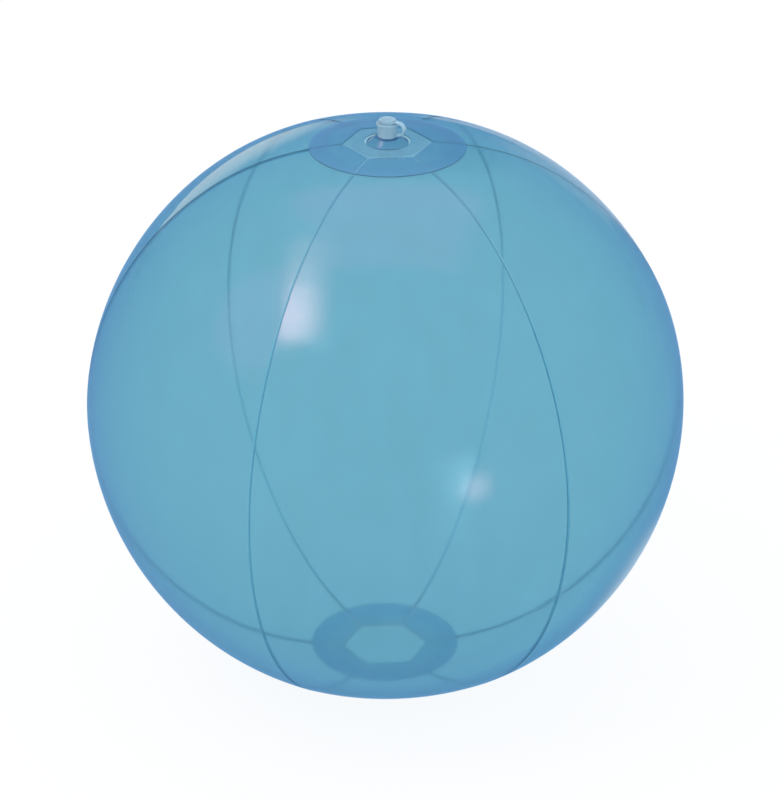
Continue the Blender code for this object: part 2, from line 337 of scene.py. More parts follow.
class Skin:
    """The film's main form, worked out once from the sizes.

    A meridian is a circle flattened at the poles: distance from the axis R cos t and height
    R sin t (1 - f sin^12 t), where t is the latitude.
    """

    def __init__(self, sizes):
        self.sizes = sizes
        self.half_gore = math.pi / sizes.gores
        self.shift = sizes.seam_gap / 2 / math.sin(self.half_gore)
        self.radius = sizes.width / 2 - self.shift
        pole = sizes.height / 2 - sizes.clearance - sizes.film
        self.flatness = 1 - pole / self.radius
        self.cap_lift = sizes.clearance + sizes.film
        self.end = sizes.gore_end / 2 / math.tan(self.half_gore)
        self.weld_end = math.acos((self.end - self.shift) / math.cos(self.half_gore) / self.radius)
        self.middle = float(self.height_at(sizes.contact / 2, self.cap_lift))

    def point(self, latitude):
        """Distance from the axis and height over the middle of the ball."""
        sine = np.sin(latitude)
        height = self.radius * sine * (1 - self.flatness * sine**FLATNESS_POWER)
        return self.radius * np.cos(latitude), height

    def height_at(self, distance, lift=0.0):
        """Height of the upper skin at a distance from the axis, lifted square to the skin."""
        latitude = np.arccos(distance / self.radius)
        sine = np.sin(latitude)
        along = np.cos(latitude) * (1 - (FLATNESS_POWER + 1) * self.flatness * sine**FLATNESS_POWER)
        return self.point(latitude)[1] + lift * np.hypot(along, sine) / sine


def unit(vectors):
    """The same directions with length one."""
    return vectors / np.linalg.norm(vectors, axis=-1, keepdims=True)


def grid_normals(points):
    """Square to a grid of points: the cross product of the steps along its columns and its rows."""
    along = np.gradient(points, axis=0)
    across = np.gradient(points, axis=1)
    return unit(np.cross(across, along))


def grid_quads(first, rows, columns, round_columns):
    """Corner numbers of the faces between neighbouring points of a grid; its columns may close in a ring."""
    numbers = first + np.arange(rows * columns).reshape(rows, columns)
    if round_columns:
        numbers = np.concatenate([numbers, numbers[:, :1]], axis=1)
    corners = (numbers[:-1, :-1], numbers[:-1, 1:], numbers[1:, 1:], numbers[1:, :-1])
    return np.stack([corner.ravel() for corner in corners], axis=-1)


def sheet_solid(outer, inner, round_columns):
    """A closed wall: two grids of points, the inner one turned over, and strips that join their rims."""
    rows, columns = outer.shape[:2]
    points = np.concatenate([outer.reshape(-1, 3), inner.reshape(-1, 3)])
    count = rows * columns
    numbers = np.arange(count).reshape(rows, columns)
    rims = [numbers[0, ::-1], numbers[-1, :]]
    if not round_columns:
        rims += [numbers[:, 0], numbers[::-1, -1]]
    strips = []
    for rim in rims:
        if round_columns:
            rim = np.append(rim, rim[0])
        strips.append(np.stack([rim[:-1], rim[1:], rim[1:] + count, rim[:-1] + count], axis=-1))
    walls = [
        grid_quads(0, rows, columns, round_columns),
        grid_quads(count, rows, columns, round_columns)[:, ::-1],
    ]
    return points, np.concatenate(walls + strips)


def carried_round(distance, height, steps):
    """Rings of points: each distance from the Z axis turned through a full circle in steps, at its height."""
    turn = np.linspace(0, 2 * math.pi, steps, endpoint=False)
    distance, height = np.reshape(distance, (-1, 1)), np.reshape(height, (-1, 1))
    return np.stack(np.broadcast_arrays(distance * np.cos(turn), distance * np.sin(turn), height), axis=-1)


def ring_solid(rings, poles):
    """A closed solid from a row of rings: faces between neighbours, and a fan from each end ring to its pole.

    Without poles the last ring is joined to the first one.
    """
    rows, steps = rings.shape[:2]
    numbers = np.arange(steps)
    following = np.roll(numbers, -1)
    last = (rows - 1) * steps
    faces = grid_quads(0, rows, steps, True).tolist()
    if len(poles):
        pole = np.full(steps, rows * steps)
        faces += np.stack([following, numbers, pole], axis=-1).tolist()
        faces += np.stack([last + numbers, last + following, pole + 1], axis=-1).tolist()
    else:
        faces += np.stack([last + numbers, last + following, following, numbers], axis=-1).tolist()
    return np.concatenate([rings.reshape(-1, 3), np.reshape(poles, (-1, 3))]), faces


def turned_solid(profile, steps):
    """A profile of (distance, height) points carried round the Z axis.

    Its two points on the axis become the poles. A profile that doesn't reach the axis is closed on itself.
    """
    on_axis = profile[:, 0] < ON_AXIS
    rings = profile[~on_axis]
    poles = profile[on_axis, 1:] * np.array([0, 0, 1])
    return ring_solid(carried_round(rings[:, 0], rings[:, 1], steps), poles)


def rounded(corners, reach, closed):
    """A line of corners with each one eased into a parabola that starts and ends `reach` away from it.

    The parabola is the quadratic curve with the corner as its middle point. The ends of an open line stay.
    """
    corners = np.asarray(corners, float)
    before, after = np.roll(corners, 1, axis=0), np.roll(corners, -1, axis=0)
    gap_before = np.linalg.norm(before - corners, axis=1, keepdims=True)
    gap_after = np.linalg.norm(after - corners, axis=1, keepdims=True)
    start = corners + (before - corners) * np.minimum(reach / gap_before, CORNER_SHARE)
    end = corners + (after - corners) * np.minimum(reach / gap_after, CORNER_SHARE)
    t = np.linspace(0, 1, CORNER_STEPS)[:, None, None]
    curve = (1 - t) ** 2 * start + 2 * t * (1 - t) * corners + t**2 * end
    curve = np.swapaxes(curve, 0, 1)
    if closed:
        return curve.reshape(-1, corners.shape[1])
    return np.concatenate([corners[:1], curve[1:-1].reshape(-1, corners.shape[1]), corners[-1:]])


def about_axis(points, angle):
    """The points turned about the Z axis."""
    c, s = math.cos(angle), math.sin(angle)
    return points @ np.array([[c, s, 0], [-s, c, 0], [0, 0, 1]])


def puckers(skin, share, distance, along, seam):
    """Small waves beside a weld: a sine along it, whose height rises and dies away with the distance from it.

    The pitch drifts and the height swells slowly, so that no two waves are alike. The weld stays straight.
    """
    sizes = skin.sizes
    away = (1 - np.abs(share)) * skin.half_gore * distance
    reach = sizes.pucker_reach
    rise = away / reach * np.exp(1 - away / reach)
    turns = along / sizes.pucker_pitch
    drift, swell = (
        much * np.sin(pace * turns + step * seam) for much, pace, step in (PUCKER_DRIFT, PUCKER_SWELL)
    )
    wave = np.sin(2 * math.pi * turns + drift + PUCKER_STEP * seam)
    return sizes.pucker * rise * wave * (1 - PUCKER_SWELL[0] + swell)


def gore_seams(skin, number):
    """Numbers of the seams at a gore's left and right side."""
    return number, number % skin.sizes.gores + 1


def gore_film(skin, number):
    """Outer and inner face of one gore about +X, with the middle of the ball at the origin.

    Field: each point of the meridian turned about the axis by a share of the half gore, raised from the
    middle of the ball by the seam rise times the square of that share, and moved out to leave the weld its
    gap. The latitudes of a column end where it meets the straight cut. Bend: at each side a quarter circle
    from the field's normal to the square of the seam plane. Fin: from there straight towards the middle of
    the ball.
    """
    sizes = skin.sizes
    half = skin.half_gore
    row = np.linspace(-1, 1, GORE_ROWS)[:, None]
    edge = 1 - sizes.fin_bend / (half * skin.point(row * skin.weld_end)[0])
    share = np.sin(math.pi / 2 * np.linspace(-1, 1, FIELD_COLUMNS))[None, :] * edge
    angle = half * share
    latitude = row * np.arccos((skin.end - skin.shift) / np.cos(angle) / skin.radius)
    distance, height = skin.point(latitude)
    base = np.stack([distance * np.cos(angle), distance * np.sin(angle), height], axis=-1)
    outward = unit(base)
    rise = sizes.seam_rise * (distance / skin.radius) ** SEAM_RISE_POWER * share**2
    along = latitude * skin.radius
    sides = [puckers(skin, share, distance, along, seam) for seam in gore_seams(skin, number)]
    waves = np.where(share < 0, *sides)
    field = base + outward * (waves + rise)[..., None] + np.array([skin.shift, 0, 0])
    square = grid_normals(field)

    def side(column, sign):
        """Bend and fin at one side, from the field outwards."""
        across = np.array([-math.sin(half), sign * math.cos(half), 0])
        start, normal = field[:, column], square[:, column]
        centre = start - sizes.fin_bend * normal
        turn = np.linspace(0, math.pi / 2, BEND_COLUMNS + 1)[1:]
        aim = unit(np.cos(turn)[:, None] * normal[:, None] + np.sin(turn)[:, None] * across)
        bend_outer = centre[:, None] + sizes.fin_bend * aim
        bend_inner = centre[:, None] + (sizes.fin_bend - sizes.film) * aim
        depth = np.linspace(0, sizes.fin_depth - sizes.fin_bend, FIN_COLUMNS + 1)[1:]
        fin_outer = bend_outer[:, -1:] - depth[:, None] * outward[:, column][:, None]
        fin_inner = fin_outer - sizes.film * across
        return (
            np.concatenate([bend_outer, fin_outer], axis=1),
            np.concatenate([bend_inner, fin_inner], axis=1),
        )

    left_outer, left_inner = side(0, -1)
    right_outer, right_inner = side(-1, 1)
    inner_field = field - sizes.film * square
    outer = np.concatenate([left_outer[:, ::-1], field, right_outer], axis=1)
    inner = np.concatenate([left_inner[:, ::-1], inner_field, right_inner], axis=1)
    return outer, inner


def gore_melt(skin, number):
    """For each point of a gore, whether it lies in a bend or a fin, and how far it was melted.

    Bends and fins have a value each, and one for both where a cap covers them. Towards the upper cap a faint
    seam goes over to its own value, by its faintness times a ramp along the rows.
    """
    row = np.linspace(-1, 1, GORE_ROWS)[:, None]
    column = np.arange(FIELD_COLUMNS + 2 * (BEND_COLUMNS + FIN_COLUMNS))
    from_edge = np.minimum(column, column[::-1])
    fused = from_edge < FIN_COLUMNS + BEND_COLUMNS
    covered = skin.point(row * skin.weld_end)[0] < skin.sizes.cap_radius
    melt = np.where(covered, LOOSE, np.where(from_edge < FIN_COLUMNS, FIN, BEND))
    melt = np.where(fused, melt, 0.0)
    ramp = np.clip((row - FAINT_START) / (FAINT_END - FAINT_START), 0, 1)
    faints = [FAINT_SEAMS.get(seam, 0.0) for seam in gore_seams(skin, number)]
    faint = ramp * np.where(column < len(column) / 2, *faints)
    melt = np.where(fused & (melt < FAINT), melt + (FAINT - melt) * faint, melt)
    return np.tile(fused, 2 * GORE_ROWS), np.tile(melt.ravel(), 2)


def cap_film(skin, hole):
    """Outer and inner face of the upper end cap: the skin's height, lifted square to it, carried round."""
    distance = np.linspace(hole, skin.sizes.cap_radius, CAP_RINGS)
    lifts = (skin.cap_lift, skin.sizes.clearance)
    return [carried_round(distance, skin.height_at(distance, lift), CAP_STEPS) for lift in lifts]


def cap_weld(skin, points, bare):
    """How far a cap was melted: bare in the hexagon of the gore ends, loose round it, welded at its rim."""
    sizes = skin.sizes
    distance = np.hypot(points[:, 0], points[:, 1])
    turn = np.arctan2(points[:, 1], points[:, 0]) - sizes.first_seam
    across = distance * np.cos(turn % (2 * skin.half_gore) - skin.half_gore)
    over = np.clip((across - skin.end) / sizes.film, 0, 1)
    welded = np.clip((distance - sizes.cap_radius + sizes.cap_weld) / sizes.film, 0, 1)
    return bare + (LOOSE - bare) * over + (FULL - LOOSE) * welded


def foot_profile(skin):
    """Outline of the lower end cap: the skin mirrored, pressed flat inside the contact patch."""
    sizes = skin.sizes
    distance = np.linspace(sizes.contact / 2, sizes.cap_radius, CAP_RINGS)
    under = np.stack([distance, -skin.height_at(distance, skin.cap_lift)], axis=-1)
    upper = np.stack([distance, -skin.height_at(distance, sizes.clearance)], axis=-1)
    flat = np.linspace(0, sizes.contact / 2, FOOT_RINGS, endpoint=False)
    under_flat = np.stack([flat, np.full_like(flat, under[0, 1])], axis=-1)
    upper_flat = np.stack([flat, np.full_like(flat, upper[0, 1])], axis=-1)
    return np.concatenate([under_flat, under, upper[::-1], upper_flat[::-1]])


def flange_profile(skin, valve):
    """Outline of the valve's flange: the skin's height from bore to rim, then one wall lower, rounded."""
    distance = np.linspace(valve.flange_bore, valve.flange_radius, FLANGE_RINGS)
    upper = np.stack([distance, skin.middle + skin.height_at(distance)], axis=-1)
    lower = upper - np.array([0, valve.flange_wall])
    return rounded(np.concatenate([upper, lower[::-1]]), valve.flange_wall * FLANGE_ROUNDING, True)


def web_profile(valve, clearance):
    """Outline of the soft web: on its way s from stem to flange it drops by the smooth step 3 s^2 - 2 s^3."""
    share = np.linspace(0, 1, SOFT_ROWS)
    reach = valve.stem_radius + clearance
    slope = reach + (valve.flange_bore - clearance - reach) * share
    drop = share * share * (3 - 2 * share)
    wall = valve.web_wall
    rise = valve.web_top + (valve.web_foot + wall - valve.web_top) * drop
    upper = np.stack([slope, rise], axis=-1)
    lower = upper - np.array([0, wall])
    return np.concatenate([upper, lower[::-1]])


def stem_profile(valve):
    """Outline of the tube: its mouth, the lip round it, the outside, the lower end and the bore, rounded."""
    under_lip = valve.stem_high - valve.lip_thickness
    corners = [
        (valve.stem_bore, valve.stem_high),
        (valve.lip_radius, valve.stem_high),
        (valve.lip_radius, under_lip),
        (valve.stem_radius, under_lip),
        (valve.stem_radius, valve.stem_low),
        (valve.stem_bore, valve.stem_low),
    ]
    return rounded(corners, valve.edge, True)


def plug_profile(valve, clearance):
    """Outline of the plug from axis to axis: a flat head, a straight shank and a tapered tip, rounded."""
    under_head = valve.plug_high - valve.head_thickness
    shank = valve.stem_bore - clearance
    corners = [
        (0, valve.plug_high),
        (valve.head_radius, valve.plug_high),
        (valve.head_radius, under_head),
        (shank, under_head),
        (shank, (under_head + valve.plug_low) / 2),
        (shank - valve.tip_taper, valve.plug_low),
        (0, valve.plug_low),
    ]
    return rounded(corners, valve.edge * PLUG_ROUNDING, False)


def strap_rings(valve, clearance):
    """Sections of the strap: a rounded rectangle carried along a path and square to it.

    The path runs out from the stem, turns over in a half circle beside the lip and runs in to the plug.
    """
    half = valve.strap_thickness / 2
    foot, top = valve.strap_low + half, valve.strap_high - half
    bend = max(valve.stem_radius + clearance, valve.lip_radius) + valve.strap_standoff
    radius = (top - foot) / 2
    turn = np.linspace(-math.pi / 2, math.pi / 2, SOFT_ROWS)
    middle = np.stack([bend + radius * np.cos(turn), (foot + top) / 2 + radius * np.sin(turn)], axis=-1)
    out = np.stack([np.cos(turn), np.sin(turn)], axis=-1)
    first, last = (valve.stem_radius + clearance, foot), (valve.head_radius + clearance, top)
    middle = np.concatenate([[first], middle, [last]])
    out = np.concatenate([[(0, -1)], out, [(0, 1)]])
    width = valve.strap_width / 2
    corners = [(-half, -width), (half, -width), (half, width), (-half, width)]
    section = rounded(corners, half * STRAP_ROUNDING, True)
    outward = middle[:, None] + out[:, None] * section[None, :, :1]
    sideways = np.broadcast_to(section[None, :, 1], outward.shape[:2])
    grid = np.stack([outward[..., 0], sideways, outward[..., 1]], axis=-1)
    return about_axis(grid, valve.strap_longitude)


def flap_rings(valve):
    """Rings of the check flap: a circle cut off straight at the hinge, made smaller towards the middle.

    Each ring takes its share of that outline, and lies its share of the thickness below the upper face.
    """
    half_cut = math.acos(valve.flap_hinge / valve.flap_radius)
    angles = np.linspace(half_cut - math.pi, math.pi - half_cut, VALVE_STEPS)
    rim = valve.flap_radius * np.stack([np.cos(angles), np.sin(angles)], axis=-1)
    share, depth = np.array(FLAP_RINGS).T[..., None]
    flat = rim * share[..., None]
    height = valve.flap_high - depth * (valve.flap_high - valve.flap_low)
    return np.concatenate([flat, np.broadcast_to(height, flat.shape[:2])[..., None]], axis=-1)


# Meshes


def signed_volume(points, faces):
    """Six times the volume inside the faces, positive where they point outwards."""
    total = 0.0
    for corners in (3, 4):
        same = np.array([face for face in faces if len(face) == corners], int)
        for i in range(1, corners - 1 if len(same) else 1):
            a, b, c = points[same[:, 0]], points[same[:, i]], points[same[:, i + 1]]
            total += float(np.einsum("ij,ij->", a, np.cross(b, c)))
    return total


def add_piece(name, solid, material, weld=None):
    """A closed mesh with its place in its points, its faces outwards and its smooth faces shaded smooth.

    The weld attribute says how far each point was melted, from 0 for plain film to 1 for a full weld.
    """
    points, faces = solid
    faces = faces if isinstance(faces, list) else faces.tolist()
    if signed_volume(points, faces) < 0:
        faces = [face[::-1] for face in faces]
    mesh = bpy.data.meshes.new(name)
    mesh.from_pydata(points, [], faces)
    if mesh.validate():
        raise RuntimeError(f"{name}: the mesh had faults")
    mesh.shade_smooth()
    mesh.set_sharp_from_angle(angle=math.radians(SHARP_DEG))
    mesh.materials.append(material)
    if weld is not None:
        mesh.attributes.new("weld", "FLOAT", "POINT").data.foreach_set("value", weld.astype(np.float32))
    piece = bpy.data.objects.new(name, mesh)
    bpy.context.scene.collection.objects.link(piece)
    return piece


def fuse(piece, seam, fused):
    """Gives the look of a fused seam to the faces whose corners are all fused."""
    piece.data.materials.append(seam)
    piece.data.polygons.foreach_set("material_index", fused.all(axis=1).astype(np.int32))


# Finishes


def add_node(tree, kind, inputs=None, **settings):
    """A node with its settings; an input is given a value or linked to a socket."""
    node = tree.nodes.new(kind)
    for name, value in settings.items():
        setattr(node, name, value)
    for name, value in (inputs or {}).items():
        if isinstance(value, bpy.types.NodeSocket):
            tree.links.new(value, node.inputs[name])
        else:
            node.inputs[name].default_value = value
    return node


def new_material(name):
    """An empty node material and its tree, or None for the tree if the material is already made."""
    if name in bpy.data.materials:
        return bpy.data.materials[name], None
    material = bpy.data.materials.new(name)
    material.use_nodes = True
    material.node_tree.nodes.clear()
    return material, material.node_tree


def dyed_film(name, finish, overlap, ior, clear):
    """PVC film dyed blue all through, so each further layer looks deeper.

    Rolling leaves a faint orange peel a few millimetres across, which softens the edges of reflections, and
    slow streaks in thickness along the roll. A cap that lies loose on the gores clings to them in small
    patches. Welds are squeezed thinner and carry the fine grain of the welding bar, which takes their gloss.
    """
    material, tree = new_material(name)
    if tree is None:
        return material
    place = add_node(tree, "ShaderNodeTexCoord").outputs["Object"]
    weld = add_node(tree, "ShaderNodeAttribute", attribute_name="weld").outputs["Fac"]
    pitch = (1 / STREAK_WIDTH, 1 / STREAK_WIDTH, 1 / STREAK_LENGTH)
    rolled = add_node(tree, "ShaderNodeMapping", {"Vector": place, "Scale": pitch})
    streaks = add_node(
        tree, "ShaderNodeTexNoise", {"Vector": rolled.outputs["Vector"], "Scale": 1.0, "Detail": 3.0}
    )
    thickness = add_node(
        tree,
        "ShaderNodeMapRange",
        {"Value": streaks.outputs["Fac"], "To Min": THICKNESS[0], "To Max": THICKNESS[1]},
    )
    patches = add_node(
        tree,
        "ShaderNodeTexNoise",
        {"Vector": place, "Scale": 1 / WET_PATCH, "Detail": 4.0, "Distortion": 0.6},
    )
    start, end = CLING_NOISE
    clinging = add_node(
        tree,
        "ShaderNodeMapRange",
        {"Value": patches.outputs["Fac"], "From Min": start, "From Max": end, "To Max": CLING_SHIFT},
        interpolation_type="SMOOTHSTEP",
    )
    over = add_node(tree, "ShaderNodeMath", {0: weld, 1: LOOSE, 2: CLING_RANGE}, operation="COMPARE")
    melted = add_node(
        tree,
        "ShaderNodeMath",
        {0: clinging.outputs["Result"], 1: over.outputs[0], 2: weld},
        operation="MULTIPLY_ADD",
    )
    tint = add_node(tree, "ShaderNodeValToRGB", {"Fac": melted.outputs[0]})
    ramp = tint.color_ramp
    ramp.elements[0].color = (*finish.film, 1)
    ramp.elements[1].color = (*finish.weld, 1)
    for stop, passed in ((BEND, finish.bend), (FIN, finish.fin), (LOOSE, overlap)):
        ramp.elements.new(stop).color = (*passed, 1)
    dyed = add_node(
        tree,
        "ShaderNodeVectorMath",
        {0: tint.outputs["Color"], "Scale": thickness.outputs["Result"]},
        operation="SCALE",
    )
    sheen = add_node(tree, "ShaderNodeTexNoise", {"Vector": place, "Scale": 1 / SHEEN_PATCH, "Detail": 3.0})
    gloss = add_node(
        tree,
        "ShaderNodeMapRange",
        {"Value": sheen.outputs["Fac"], "To Min": FILM_ROUGHNESS[0], "To Max": FILM_ROUGHNESS[1]},
    )
    dull = add_node(
        tree,
        "ShaderNodeMath",
        {0: weld, 1: WELD_ROUGHNESS, 2: gloss.outputs["Result"]},
        operation="MULTIPLY_ADD",
    )
    peel = add_node(tree, "ShaderNodeTexNoise", {"Vector": place, "Scale": 1 / PEEL, "Detail": 2.0})
    grain = add_node(tree, "ShaderNodeTexVoronoi", {"Vector": place, "Scale": 1 / WELD_GRAIN})
    pressed = add_node(
        tree,
        "ShaderNodeMath",
        {0: grain.outputs["Distance"], 1: weld, 2: peel.outputs["Fac"]},
        operation="MULTIPLY_ADD",
    )
    bump = add_node(
        tree, "ShaderNodeBump", {"Height": pressed.outputs[0], "Strength": 0.02, "Distance": PEEL_HEIGHT}
    )
    shader = add_node(
        tree,
        "ShaderNodeBsdfPrincipled",
        {
            "Base Color": dyed.outputs["Vector"],
            "Roughness": dull.outputs[0],
            "IOR": ior,
            "Transmission Weight": clear,
            "Normal": bump.outputs["Normal"],
        },
    )
    add_node(tree, "ShaderNodeOutputMaterial", {"Surface": shader.outputs["BSDF"]})
    return material


def calendered_film(finish):
    """Calendered PVC film: glossy and clear, with a haze that softens what is seen far behind it."""
    return dyed_film("calendered_pvc_film", finish, finish.overlap, ior=1.5, clear=0.97)


def fused_seam(finish):
    """Film fused by the welding bar: the layers ran into one, so light goes through unbent, only deeper.

    Under a cap it is nearly clear, because there it is one with the film that covers it.
    """
    return dyed_film("fused_pvc_seam", finish, finish.base, ior=1.03, clear=1.0)


def soft_pvc(name, tint, roughness, ior, clear):
    """Soft PVC with slow clouds in its tint, and a fine grain that takes some of its gloss."""
    material, tree = new_material(name)
    if tree is None:
        return material
    place = add_node(tree, "ShaderNodeTexCoord").outputs["Object"]
    clouds = add_node(
        tree, "ShaderNodeTexNoise", {"Vector": place, "Scale": 1 / CLOUD, "Detail": 4.0, "Distortion": 1.2}
    ).outputs["Fac"]
    share = add_node(
        tree, "ShaderNodeMapRange", {"Value": clouds, "To Min": CLOUD_TINT[0], "To Max": CLOUD_TINT[1]}
    )
    cloudy = add_node(
        tree, "ShaderNodeVectorMath", {0: tuple(tint), "Scale": share.outputs["Result"]}, operation="SCALE"
    )
    low, high = (roughness * part for part in CLOUD_ROUGHNESS)
    gloss = add_node(tree, "ShaderNodeMapRange", {"Value": clouds, "To Min": low, "To Max": high})
    grain = add_node(tree, "ShaderNodeTexNoise", {"Vector": place, "Scale": 1 / GRAIN, "Detail": 2.0})
    bump = add_node(
        tree, "ShaderNodeBump", {"Height": grain.outputs["Fac"], "Strength": 0.15, "Distance": GRAIN_HEIGHT}
    )
    shader = add_node(
        tree,
        "ShaderNodeBsdfPrincipled",
        {
            "Base Color": cloudy.outputs["Vector"],
            "Roughness": gloss.outputs["Result"],
            "IOR": ior,
            "Transmission Weight": clear,
            "Normal": bump.outputs["Normal"],
        },
    )
    add_node(tree, "ShaderNodeOutputMaterial", {"Surface": shader.outputs["BSDF"]})
    return material


def pressed_base(finish):
    """Pressed PVC base of the valve: hardly tinted, and welded to the cap with no air between."""
    return soft_pvc("pressed_pvc_base", finish.base, roughness=0.05, ior=1.05, clear=0.97)


def soft_web(finish):
    """Soft PVC web of the valve, tinted a deeper blue than its base."""
    return soft_pvc("soft_pvc_web", finish.web, roughness=0.1, ior=1.5, clear=0.94)


def moulded_valve(finish):
    """Injection-moulded soft PVC: cloudy, hardly tinted, with a satin skin that mirrors little."""
    return soft_pvc("moulded_soft_pvc", finish.moulding, roughness=0.12, ior=1.25, clear=0.62)


def mirrored_rays(tree):
    """One for what is seen in a reflection, zero for what is seen straight or through the film."""
    path = add_node(tree, "ShaderNodeLightPath")
    depths = {0: path.outputs["Glossy Depth"], 1: MIRRORED_DEPTH}
    return add_node(tree, "ShaderNodeMath", depths, operation="GREATER_THAN").outputs[0]


def light_table(stage):
    """Opal acrylic lit from below: an even white that keeps a faint shadow.

    Reflections alone get painted reflections: the room's blue, a bright wedge behind the ball and a bright
    spot.
    """
    material, tree = new_material("opal_acrylic_light_table_with_painted_reflections")
    if tree is None:
        return material
    place = add_node(tree, "ShaderNodeTexCoord").outputs["Object"]
    parts = add_node(tree, "ShaderNodeSeparateXYZ", {"Vector": place})
    slant = add_node(
        tree,
        "ShaderNodeMath",
        {0: parts.outputs["X"], 1: PAINTED_WEDGE_SLANT, 2: parts.outputs["Y"]},
        operation="MULTIPLY_ADD",
    )
    # Painted reflection: a bright wedge and a bright spot that only reflected rays see on the floor
    wedge = PAINTED_WEDGE_STRENGTH
    for part, (start, end) in ((parts.outputs["X"], PAINTED_WEDGE_NEAR), (slant.outputs[0], PAINTED_WEDGE_FAR)):
        wedge = add_node(
            tree,
            "ShaderNodeMapRange",
            {"Value": part, "From Min": start, "From Max": end, "To Max": wedge},
            interpolation_type="SMOOTHSTEP",
        ).outputs[0]
    centre, inner, outer, strength = PAINTED_FLOOR_SPOT
    away = add_node(tree, "ShaderNodeVectorMath", {0: place, 1: centre}, operation="DISTANCE")
    spot = add_node(
        tree,
        "ShaderNodeMapRange",
        {"Value": away.outputs["Value"], "From Min": outer, "From Max": inner, "To Max": strength},
        interpolation_type="SMOOTHSTEP",
    )
    share = add_node(tree, "ShaderNodeMath", {0: wedge, 1: spot.outputs[0]}, operation="MAXIMUM")
    seen = add_node(
        tree,
        "ShaderNodeMix",
        {"Factor": share.outputs[0], 6: (*stage.room, 1), 7: (*stage.backdrop, 1)},
        data_type="RGBA",
    )
    # Reflected rays get the painted colours; seen straight the floor glows plain white
    glow = add_node(
        tree,
        "ShaderNodeMix",
        {"Factor": mirrored_rays(tree), 6: (*stage.floor, 1), 7: seen.outputs[2]},
        data_type="RGBA",
    )
    shader = add_node(
        tree,
        "ShaderNodeBsdfPrincipled",
        {
            "Base Color": (FLOOR_GREY, FLOOR_GREY, FLOOR_GREY, 1),
            "Roughness": FLOOR_ROUGHNESS,
            "Specular IOR Level": 0.0,
            "Emission Color": glow.outputs[2],
            "Emission Strength": FLOOR_GLOW,
        },
    )
    add_node(tree, "ShaderNodeOutputMaterial", {"Surface": shader.outputs["BSDF"]})
    return material


def softbox_glow(tree, cloth, along, across):
    """Diffusion cloth of a softbox, whose brightness fades along and across it."""
    place = add_node(tree, "ShaderNodeNewGeometry")
    parts = add_node(tree, "ShaderNodeSeparateXYZ", {"Vector": place.outputs["Parametric"]})
    share = 1.0
    for part, fade in (("Y", along), ("X", across)):
        shade = add_node(tree, "ShaderNodeValToRGB", {"Fac": parts.outputs[part]})
        ramp = shade.color_ramp
        ramp.elements[0].color = ramp.elements[1].color = (0, 0, 0, 1)
        for position, value in fade:
            ramp.elements.new(position).color = (value, value, value, 1)
        share = add_node(
            tree, "ShaderNodeMath", {0: shade.outputs["Color"], 1: share}, operation="MULTIPLY"
        ).outputs[0]
    glow = add_node(tree, "ShaderNodeEmission", {"Color": (*cloth, 1), "Strength": share})
    add_node(tree, "ShaderNodeOutputLight", {"Surface": glow.outputs["Emission"]})


def studio_world(tree, stage):
    """White seen straight; reflections get a painted blue room with an overhead panel, three walls and a dark
    gap.
    """
    aim = add_node(tree, "ShaderNodeTexCoord").outputs["Generated"]
    parts = add_node(tree, "ShaderNodeSeparateXYZ", {"Vector": aim})
    aside = add_node(tree, "ShaderNodeMath", {0: parts.outputs["X"]}, operation="ABSOLUTE")
    mask = 1.0
    for part, (start, end) in (
        (aside.outputs[0], PAINTED_PANEL_SIDES),
        (parts.outputs["Y"], PAINTED_PANEL_FRONT),
        (parts.outputs["Z"], PAINTED_PANEL_LOW),
    ):
        edge = add_node(
            tree,
            "ShaderNodeMapRange",
            {"Value": part, "From Min": start, "From Max": end},
            interpolation_type="SMOOTHSTEP",
        )
        product = {0: edge.outputs[0], 1: mask}
        mask = add_node(tree, "ShaderNodeMath", product, operation="MULTIPLY").outputs[0]
    seen = add_node(
        tree, "ShaderNodeMix", {"Factor": mask, 6: (*stage.room, 1), 7: (*stage.panel, 1)}, data_type="RGBA"
    )
    # Painted reflections of three walls and a dark gap, each faded in round its aim
    for tint, (centre, inner, outer, strength) in (
        (stage.gap, PAINTED_DARK_GAP),
        (stage.backdrop, PAINTED_RIGHT_WALL),
        (stage.panel, PAINTED_SIDE_WALL),
        (stage.backdrop, PAINTED_BACK_WALL),
    ):
        facing = add_node(tree, "ShaderNodeVectorMath", {0: aim, 1: centre}, operation="DOT_PRODUCT")
        near = add_node(
            tree,
            "ShaderNodeMapRange",
            {
                "Value": facing.outputs["Value"],
                "From Min": math.cos(math.radians(outer)),
                "From Max": math.cos(math.radians(inner)),
                "To Max": strength,
            },
            interpolation_type="SMOOTHSTEP",
        )
        seen = add_node(
            tree,
            "ShaderNodeMix",
            {"Factor": near.outputs[0], 6: seen.outputs[2], 7: (*tint, 1)},
            data_type="RGBA",
        )
    # Reflected rays get the painted room; seen straight and through the film the world stays white
    both = add_node(
        tree,
        "ShaderNodeMix",
        {"Factor": mirrored_rays(tree), 6: (1, 1, 1, 1), 7: seen.outputs[2]},
        data_type="RGBA",
    )
    sky = add_node(tree, "ShaderNodeBackground", {"Color": both.outputs[2], "Strength": 1.0})
    add_node(tree, "ShaderNodeOutputWorld", {"Surface": sky.outputs["Background"]})


# Lights and camera


def hang_light(scene, name, middle, ends, width, brightness, cloth, along_fade, across_fade):
    """A rectangular light from its lower to its upper end, turned to face the middle of the ball.

    Its energy is that of a cloth of the given brightness, pi times its area.
    """
    low, high = np.array(ends)
    away = unit(low + high)
    along = unit(high - low - away * (away @ (high - low)))
    light = bpy.data.lights.new(name, "AREA")
    light.shape = "RECTANGLE"
    light.size = width
    light.size_y = float(np.linalg.norm(high - low))
    light.energy = brightness * math.pi * light.size * light.size_y
    light.use_nodes = True
    light.node_tree.nodes.clear()
    softbox_glow(light.node_tree, cloth, along_fade, across_fade)
    box = bpy.data.objects.new(name, light)
    turn = np.eye(4)
    turn[:3, :3] = np.stack([np.cross(along, away), along, away], axis=-1)
    turn[:3, 3] = middle + (low + high) / 2
    box.matrix_world = Matrix(turn.tolist())
    box.visible_camera = False
    scene.collection.objects.link(box)


